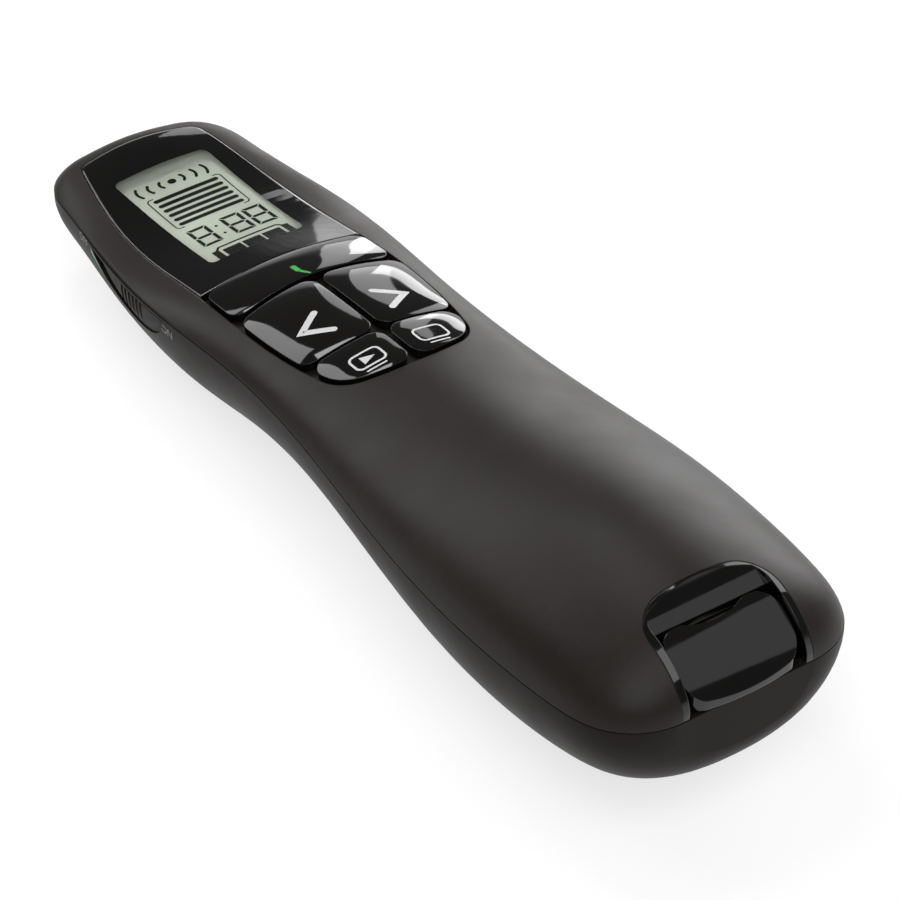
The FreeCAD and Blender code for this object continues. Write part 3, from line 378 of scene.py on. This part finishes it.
# Pad printing inks: flat just off white, and flat bright green
printInk = surface("whitePadPrint", ("#dcdcdc", "#e6e6e6"), satin(0.6, 0.5))
greenInk = surface("greenPadPrint", ("#2faa3c", "#35b843"), satin(0.6, 0.45))
keyMarks = {
    "lift": 0.015,
    "chevron": ((4.0, 13.95), (7.5, 11.5), (4.0, 9.1)), "chevronWidth": 0.86,
    "chevronShift": {"back_button": (0.0, 0.0), "forward_button": (-0.6, -0.3)},
    "screen": (4.0, 2.7), "screenRadius": 0.75, "screenLine": 0.3,
    "foot": 2.9, "footDrop": 2.05, "footLine": 0.24,
    "slideshow": (-4.55, 1.9), "blank": (4.35, 1.9),
    "arrow": ((-5.35, 2.65), (-5.35, 1.15), (-3.55, 1.9)),
    "torch": (-0.56, 23.6), "torchSize": (0.7, 1.8), "torchRadius": 0.33,
    "beam": ((-0.85, 22.85), (-0.25, 22.85), (0.36, 21.52), (0.08, 21.36)),
}


def markKey(key, parts, ink=printInk):
    # Marks drawn flat in X and Y that lie on a key and move with it
    flat = [(np.column_stack([points, np.zeros(len(points))]), faces) for points, faces in parts]
    laid(key + "_mark", flat, key, keyMarks["lift"], key, ink)


def screenMark(middle):
    # Outline of a screen with its foot line
    x, y = middle
    frameLine = roundedRectangle(middle, keyMarks["screen"], keyMarks["screenRadius"])
    half, low = keyMarks["foot"] / 2, y - keyMarks["footDrop"]
    foot = [(x - half, low), (x + half, low)]
    return [strokeGrid(frameLine, keyMarks["screenLine"], closed=True, columns=3),
            strokeGrid(foot, keyMarks["footLine"], columns=3)]


for side, key in ((-1, "back_button"), (1, "forward_button")):
    chevron = np.array(keyMarks["chevron"]) * (side, 1) + keyMarks["chevronShift"][key]
    markKey(key, [strokeGrid(chevron, keyMarks["chevronWidth"])])
arrow = filledPolygon(np.array(keyMarks["arrow"]))
markKey("slideshow_button", screenMark(keyMarks["slideshow"]) + [arrow])
markKey("blank_button", screenMark(keyMarks["blank"]))
torch = roundedRectangle(keyMarks["torch"], keyMarks["torchSize"], keyMarks["torchRadius"])
markKey("laser_button", [filledPolygon(torch), filledPolygon(np.array(keyMarks["beam"]))],
        greenInk)
print("key marks laid")


# Black finish of the display lens, open over the display. The window and the display's
# marks are turned a little, as they are seen through the lens.

display = {"tilt": 2.0, "middle": (45.6, 12.62), "lift": 0.02, "turn": 1.5, "pivot": (0.6, 45.0)}
lensPrint = {"lift": 0.012, "window": (13.8, 22.6), "middle": (0.12, 44.95), "radius": 0.9,
             "cornerSteps": 40, "bow": 0.55, "windowStep": 0.05, "steps": 1440, "rings": 14,
             "edge": 0.03, "side": 0.015, "brow": 0.04, "skirt": 0.9, "above": 30.0}
blackPrint = surface("glossBlackLensPrint", ("#0b0a09", "#0f0e0d"), gloss)  # deep and wet


def turned(points, degrees):
    # Turned about the origin: x cos a - y sin a, x sin a + y cos a
    cosine, sine = math.cos(math.radians(degrees)), math.sin(math.radians(degrees))
    return points @ np.array([(cosine, sine), (-sine, cosine)])


def planReach(node, middle, ways, farthest=40.0, height=50.0, halvings=16):
    # How far a node's plan goes from its middle along each way, found by halving
    near, far = np.zeros(len(ways)), np.full(len(ways), farthest)
    for _ in range(halvings):
        half = (near + far) / 2
        places = np.column_stack([middle + ways * half[:, None], np.full(len(ways), height)])
        found = np.array([nodes[node].ray_cast(Vector(place) * mm, Vector(down))[0]
                          for place in places])
        near, far = np.where(found, half, near), np.where(found, far, half)
    return near


def makeLensPrint():
    # Rings from the window's outline out to the lens's own outline, then down its edge.
    # A place is the middle + way * (inner + (outer - inner) * t), pressed onto the lens.
    # The window's sides bow by 1 - (y / half height)^2.
    middle = np.array(lensPrint["middle"])
    turns = np.linspace(-math.pi, math.pi, lensPrint["steps"] + 1)
    ways = np.stack([np.cos(turns), np.sin(turns)], axis=1)
    outer = planReach("display_lens", middle, ways) - lensPrint["edge"]
    window = roundedRectangle((0, 0), lensPrint["window"], lensPrint["radius"],
                              lensPrint["cornerSteps"])
    window = resampled(np.vstack([window, window[:1]]), lensPrint["windowStep"])
    window[:, 0] += lensPrint["bow"] * (1 - (window[:, 1] / (lensPrint["window"][1] / 2)) ** 2)
    window = turned(window, display["turn"])
    angles = np.arctan2(window[:, 1], window[:, 0])
    order = np.argsort(angles)
    inner = np.interp(turns, angles[order], np.linalg.norm(window, axis=1)[order],
                      period=2 * math.pi)
    shares = np.linspace(0, 1, lensPrint["rings"])
    reach = inner + (outer - inner) * shares[:, None]
    flat = (middle + ways * reach[:, :, None]).reshape(-1, 2)
    top = pressed(np.column_stack([flat, np.full(len(flat), lensPrint["above"])]),
                  "display_lens", lensPrint["lift"])
    rim = top[-len(turns):]
    wallReach = (outer + lensPrint["edge"] + lensPrint["side"])[:, None]
    wall = np.column_stack([middle + ways * wallReach, rim[:, 2]])
    rows = [top, wall - (0, 0, lensPrint["brow"]), wall - (0, 0, lensPrint["skirt"])]
    faces = gridFaces(lensPrint["rings"] + 2, len(turns))[:, ::-1]
    newPiece("lens_print", np.vstack(rows), faces, blackPrint, "housing")


makeLensPrint()
print("lens print made")


# Display marks: every segment that the cell can show

# Switched segments look like flat, matte near black
segmentInk = surface("displaySegmentDark", ("#0c0c0a", "#11110e"), satin(0.8, 0.6, ior=1.1))
signal = {"dot": (0.41, 53.88), "dotRadii": (0.6, 0.5), "arcPlaces": (1.35, 3.02, 4.66),
          "arcShares": (0.68, 0.84, 1.0), "arcHalf": 1.14, "arcBow": 0.42, "arcStroke": 0.4,
          "arcSteps": 13}
bars = {"x": 0.88, "low": 45.3, "count": 6, "pitch": 1.194, "width": 9.6, "stroke": 0.7,
        "bracketX": (-4.55, 6.25), "bracketOver": 0.75, "bracketArm": 1.0,
        "bracketCorner": 0.35, "bracketLine": 0.18}
digits = {"places": (-2.87, 1.95, 5.25), "size": (2.85, 4.7), "low": 38.65, "stroke": 0.52,
          "gap": 0.09, "shoulder": 0.2, "rings": 3,
          "colonX": -0.49, "colonRises": (1.36, 3.47), "colonRadius": 0.27}
battery = {"left": -3.65, "right": 5.75, "top": 37.35, "low": 33.2, "corner": 0.5, "line": 0.34,
           "flankOut": 0.45, "flankLine": 0.75, "cells": 3, "cellIn": 0.55, "cellGap": 0.25,
           "cellDown": 0.8, "rings": 3}


def onGlass(parts):
    # Turned as the glass sits, then z = middle height + lift - (y - middle y) * tan(tilt)
    middleY, height = display["middle"]
    slope = math.tan(math.radians(display["tilt"]))
    placed = []
    for points, faces in parts:
        points = turned(points - display["pivot"], display["turn"]) + display["pivot"]
        z = height + display["lift"] - (points[:, 1] - middleY) * slope
        placed.append((np.column_stack([points, z]), faces))
    return placed


def signalMarks():
    # A dot between three arcs on each side: x goes out by place + bow * (1 - t^2), y by half * t
    x, y = signal["dot"]
    marks = [disc((x, y), *signal["dotRadii"])]
    turn = np.linspace(-1, 1, signal["arcSteps"])
    for side in (-1, 1):
        for place, share in zip(signal["arcPlaces"], signal["arcShares"]):
            out = place + signal["arcBow"] * (1 - turn ** 2)
            arc = np.stack([x + side * out, y + signal["arcHalf"] * share * turn], axis=1)
            marks.append(strokeGrid(arc, signal["arcStroke"], columns=3))
    return marks


def barMarks():
    # Bars one above the other, between two thin brackets with cut corners
    half = bars["width"] / 2
    marks = []
    for index in range(bars["count"]):
        y = bars["low"] + index * bars["pitch"]
        marks.append(strokeGrid([(bars["x"] - half, y), (bars["x"] + half, y)], bars["stroke"]))
    low = bars["low"] - bars["bracketOver"]
    top = bars["low"] + (bars["count"] - 1) * bars["pitch"] + bars["bracketOver"]
    cut = bars["bracketCorner"]
    for side, outer in zip((-1, 1), bars["bracketX"]):
        inner, corner = outer - side * bars["bracketArm"], outer - side * cut
        bracket = [(inner, low), (corner, low), (outer, low + cut), (outer, top - cut),
                   (corner, top), (inner, top)]
        marks.append(strokeGrid(bracket, bars["bracketLine"], roundEnds=False, columns=3))
    return marks


def digitMarks(x):
    # Seven segments of an 8 with mitred ends: three across, then two up each side
    width, height = digits["size"]
    low, gap, half = digits["low"], digits["gap"], digits["stroke"] / 2
    left, right = x - width / 2 + half, x + width / 2 - half
    rows = [low + half, low + height / 2, low + height - half]
    start, end = left + gap, right - gap
    shapes = []
    for y, lean in zip(rows, (half, 0, -half)):
        if lean:
            shapes.append([(start - lean, y - half), (end + lean, y - half),
                           (end - lean, y + half), (start + lean, y + half)])
        else:
            shapes.append([(start, y), (start + half, y - half), (end - half, y - half),
                           (end, y), (end - half, y + half), (start + half, y + half)])
    for side, middle in ((-1, left), (1, right)):
        outer, inner = middle + side * half, middle - side * half
        for far, near, lean in ((rows[0] + gap, rows[1] - gap, half),
                                (rows[2] - gap, rows[1] + gap, -half)):
            shapes.append([(outer, far - lean), (outer, near - lean * digits["shoulder"]),
                           (middle, near), (inner, near - lean), (inner, far + lean)])
    return [filledPolygon(np.array(shape), rings=digits["rings"]) for shape in shapes]


def batteryMarks():
    # Battery outline with its flanks and charge cells. Their lower ends lie under the lens
    # print.
    left, right, top, low = (battery[key] for key in ("left", "right", "top", "low"))
    cut = battery["corner"]
    outline = [(left, low), (left, top - cut), (left + cut, top), (right - cut, top),
               (right, top - cut), (right, low)]
    marks = [strokeGrid(outline, battery["line"], roundEnds=False, columns=3)]
    for x in (left - battery["flankOut"], right + battery["flankOut"]):
        marks.append(strokeGrid([(x, top - cut), (x, low)], battery["flankLine"],
                                roundEnds=False, columns=3))
    count, gap, inset = battery["cells"], battery["cellGap"], battery["cellIn"]
    wide = (right - left - 2 * inset - (count - 1) * gap) / count
    high = top - battery["cellDown"]
    for index in range(count):
        start = left + inset + index * (wide + gap)
        shape = [(start, low), (start + wide, low), (start + wide, high), (start, high)]
        marks.append(filledPolygon(np.array(shape), rings=battery["rings"]))
    return marks


segments = signalMarks() + barMarks() + batteryMarks()
for place in digits["places"]:
    segments += digitMarks(place)
for rise in digits["colonRises"]:
    segments.append(disc((digits["colonX"], digits["low"] + rise), digits["colonRadius"],
                         digits["colonRadius"], steps=4))
points, faces = joined(onGlass(segments))
newPiece("display_segments", points, faces, segmentInk, "housing", smooth=False)
print("display drawn")


# Words beside the power slider, the wedge in its slot and marks on the timer buttons

labels = {"size": 1.55, "lift": 0.02, "off": (50.9, 11.85), "on": (28.1, 12.65),
          "longEdge": 0.4, "cuts": 3, "x": -19.0}
labelInk = surface("greyPadPrint", ("#a3a09d", "#adaaa7"), satin(0.5, 0.55))  # flat grey


def sideWord(name, words, place):
    # Flat letters, read from the nose to the tail, pressed onto the left side
    curve = bpy.data.curves.new(name, "FONT")
    curve.body = words
    curve.size = labels["size"]
    curve.align_x = "CENTER"
    curve.align_y = "CENTER"
    holder = bpy.data.objects.new(name, curve)
    bpy.context.scene.collection.objects.link(holder)
    flat = bpy.data.meshes.new_from_object(holder)
    bpy.data.objects.remove(holder)
    letters = bmesh.new()
    letters.from_mesh(flat)
    bmesh.ops.triangulate(letters, faces=letters.faces[:])
    longEdges = [edge for edge in letters.edges if edge.calc_length() > labels["longEdge"]]
    bmesh.ops.subdivide_edges(letters, edges=longEdges, cuts=labels["cuts"], use_grid_fill=True)
    bmesh.ops.triangulate(letters, faces=letters.faces[:])
    corners = np.array([vertex.co for vertex in letters.verts])
    faces = [[vertex.index for vertex in face.verts] for face in letters.faces]
    letters.free()
    y, z = place
    placed = np.column_stack([np.full(len(corners), labels["x"]), y - corners[:, 0],
                              z + corners[:, 1]])
    laid(name, [(placed, faces)], "bottom_cover", labels["lift"], "housing", labelInk,
         toRight)


sideWord("off_label", "OFF", labels["off"])
sideWord("on_label", "ON", labels["on"])

# Green wedge along the slot's lower edge, at its widest beside the word OFF

wedge = {"y": (44.3, 48.5), "thick": 0.66, "power": 0.8, "tip": 0.02, "below": 0.02, "count": 22,
         "x": -19.0, "skin": -14.0, "scan": (9.5, 12.25), "scanStep": 0.03}
wedgeInk = surface("greenWedgePrint", ("#46b873", "#50c47e"), satin(0.6, 0.4))  # mint green


def slotEdge(y):
    # Goes up the left side until it leaves the outer skin
    z, top = wedge["scan"]
    while z < top:
        start = Vector((wedge["x"], y, z + wedge["scanStep"])) * mm
        hit = nodes["bottom_cover"].ray_cast(start, Vector(toRight))[1]
        if hit.x / mm > wedge["skin"]:
            break
        z += wedge["scanStep"]
    return z


def makeWedge():
    # The thickness grows as the 0.8th power of the way from the point
    first, last = wedge["y"]
    rows = []
    for share in np.linspace(0, 1, wedge["count"]):
        y = first + (last - first) * share
        high = slotEdge(y) - wedge["below"]
        low = high - wedge["thick"] * max(share, wedge["tip"]) ** wedge["power"]
        rows += [(wedge["x"], y, low + (high - low) * part) for part in (0, 0.5, 1)]
    faces = gridFaces(wedge["count"], 3)[:, ::-1]
    laid("slot_wedge", [(np.array(rows), faces)], "bottom_cover", labels["lift"], "housing",
         wedgeInk, toRight)


makeWedge()

timerMarks = {"x": 19.0, "z": 7.9, "line": 0.34, "half": 0.75, "arrow": (-0.55, 0.85),
              "places": {"start_button": 34.6, "plus_button": 41.4, "minus_button": 47.6}}


def timerMark(key, y):
    # An arrow, a plus or a minus, drawn along Y and up Z
    z, half = timerMarks["z"], timerMarks["half"]
    if key == "start_button":
        back, tip = timerMarks["arrow"]
        return [filledPolygon(np.array([(y + back, z - half), (y + tip, z), (y + back, z + half)]))]
    lines = [[(y - half, z), (y + half, z)]]
    if key == "plus_button":
        lines.append([(y, z - half), (y, z + half)])
    return [strokeGrid(line, timerMarks["line"], columns=3) for line in lines]


for key, y in timerMarks["places"].items():
    parts = [(np.column_stack([np.full(len(points), timerMarks["x"]), points]), faces)
             for points, faces in timerMark(key, y)]
    laid(key + "_mark", parts, key, keyMarks["lift"], key, printInk, toLeft)
print("side marks laid")


# Studio: white floor, soft lamps, white walls and a dark ceiling

studio = {"floorHalf": 2500.0, "floorColour": "#a0a0a0", "floorGlow": 0.74,
          "horizon": (0.04, 0.22), "horizonGlow": 0.8, "ceilingGlow": 0.11, "aimHeight": 15.0}
# The far boxes and the strip mirror in the lens and along the far side, the left one in the
# back key, the tail one in the receiver. The fill lights the object from the camera's side.
lamps = [
    {"name": "highFarBox", "place": (110, 400, 760), "size": (260, 200), "power": 1.1},
    {"name": "farLowBox", "place": (819, 574, 110), "size": (700, 210), "power": 1.9},
    {"name": "farStripBox", "place": (556, 795, 242), "size": (150, 400), "power": 0.36},
    {"name": "leftBox", "place": (-219, 675, 554), "size": (520, 420), "power": 2.2},
    {"name": "rightLowBox", "place": (765, 315, 330), "size": (560, 420), "power": 1.9},
    {"name": "tailBox", "place": (490, -350, 660), "size": (500, 360), "power": 0.4},
    {"name": "frontFill", "place": (-300, -500, 900), "size": (900, 900), "power": 6.0},
]


def makeFloor():
    # Matte grey that takes the shadow, with a glow that only the rays which look at it see.
    # Together they are white.
    half = studio["floorHalf"]
    corners = np.array([(-half, -half, 0), (half, -half, 0), (half, half, 0), (-half, half, 0)])
    mesh = bpy.data.meshes.new("floor")
    mesh.from_pydata((corners * mm).tolist(), [], [(0, 1, 2, 3)])
    material, tree = startMaterial("matteWhiteFloor")
    matte = addNode(tree, "ShaderNodeBsdfDiffuse",
                    inputs={"Color": linearColour(studio["floorColour"])})
    rays = addNode(tree, "ShaderNodeLightPath").outputs
    direct = addNode(tree, "ShaderNodeMath", {"operation": "MAXIMUM"},
                     {0: rays["Is Camera Ray"], 1: rays["Is Transmission Ray"]}).outputs[0]
    seen = addNode(tree, "ShaderNodeMath", {"operation": "MAXIMUM"},
                   {0: direct, 1: rays["Is Glossy Ray"]}).outputs[0]
    strength = addNode(tree, "ShaderNodeMath", {"operation": "MULTIPLY"},
                       {0: seen, 1: studio["floorGlow"]}).outputs[0]
    glow = addNode(tree, "ShaderNodeEmission", inputs={"Strength": strength})
    both = addNode(tree, "ShaderNodeAddShader",
                   inputs={0: matte.outputs["BSDF"], 1: glow.outputs["Emission"]})
    addNode(tree, "ShaderNodeOutputMaterial", inputs={"Surface": both.outputs[0]})
    mesh.materials.append(material)
    floor = bpy.data.objects.new("floor", mesh)
    bpy.context.scene.collection.objects.link(floor)


def makeLamp(lamp):
    # A rectangle of light that faces the object's middle
    light = bpy.data.lights.new(lamp["name"], "AREA")
    light.shape = "RECTANGLE"
    light.size = lamp["size"][0] * mm
    light.size_y = lamp["size"][1] * mm
    light.energy = lamp["power"]
    holder = bpy.data.objects.new(lamp["name"], light)
    bpy.context.scene.collection.objects.link(holder)
    place = Vector(lamp["place"]) * mm
    aim = Vector((0, 0, studio["aimHeight"])) * mm
    holder.location = place
    holder.rotation_euler = (place - aim).to_track_quat("Z", "Y").to_euler()


def makeWorld():
    # White walls round the table and a dark ceiling: the glow falls as the way looked along
    # rises from the horizon
    world = bpy.data.worlds.new("studio")
    bpy.context.scene.world = world
    world.use_nodes = True
    tree = world.node_tree
    tree.nodes.clear()
    way = addNode(tree, "ShaderNodeTexCoord").outputs["Generated"]
    rise = addNode(tree, "ShaderNodeSeparateXYZ", inputs={"Vector": way}).outputs["Z"]
    low, high = studio["horizon"]
    fade = addNode(tree, "ShaderNodeMapRange", {"interpolation_type": "SMOOTHSTEP"},
                   {"Value": rise, "From Min": low, "From Max": high,
                    "To Min": studio["horizonGlow"], "To Max": studio["ceilingGlow"]})
    glow = addNode(tree, "ShaderNodeBackground",
                   inputs={"Color": (1, 1, 1, 1), "Strength": fade.outputs["Result"]})
    addNode(tree, "ShaderNodeOutputWorld", inputs={"Surface": glow.outputs["Background"]})


makeFloor()
for lamp in lamps:
    makeLamp(lamp)
makeWorld()
print("studio lit")


# Camera at the photograph's view: the frame's origin falls on the aim pixel

camera = {"azimuth": -35.092, "elevation": 39.438, "roll": 0.877, "distance": 470.0,
          "focal": 3918.1, "aim": (408.2, 489.2), "image": 900.0, "sensor": 36.0, "near": 10.0}


def makeCamera():
    # Looks along -back from the distance, moved sideways until the origin is on its pixel
    azimuth, elevation, roll = (math.radians(camera[key])
                                for key in ("azimuth", "elevation", "roll"))
    back = Vector((math.sin(azimuth) * math.cos(elevation),
                   -math.cos(azimuth) * math.cos(elevation), math.sin(elevation)))
    level = Vector((math.cos(azimuth), math.sin(azimuth), 0))
    right = Matrix.Rotation(roll, 3, back) @ level
    up = back.cross(right)
    perPixel = camera["distance"] / camera["focal"]
    across = (camera["aim"][0] - camera["image"] / 2) * perPixel
    upward = -(camera["aim"][1] - camera["image"] / 2) * perPixel
    place = (back * camera["distance"] - right * across - up * upward) * mm
    lens = bpy.data.cameras.new("camera")
    lens.sensor_width = camera["sensor"]
    lens.lens = camera["focal"] / camera["image"] * camera["sensor"]
    lens.clip_start = camera["near"] * mm
    holder = bpy.data.objects.new("camera", lens)
    bpy.context.scene.collection.objects.link(holder)
    turn = Matrix((right, up, back)).transposed().to_4x4()
    holder.matrix_world = Matrix.Translation(place) @ turn
    bpy.context.scene.camera = holder


makeCamera()
bpy.context.scene.view_settings.view_transform = "Standard"
print("camera set")
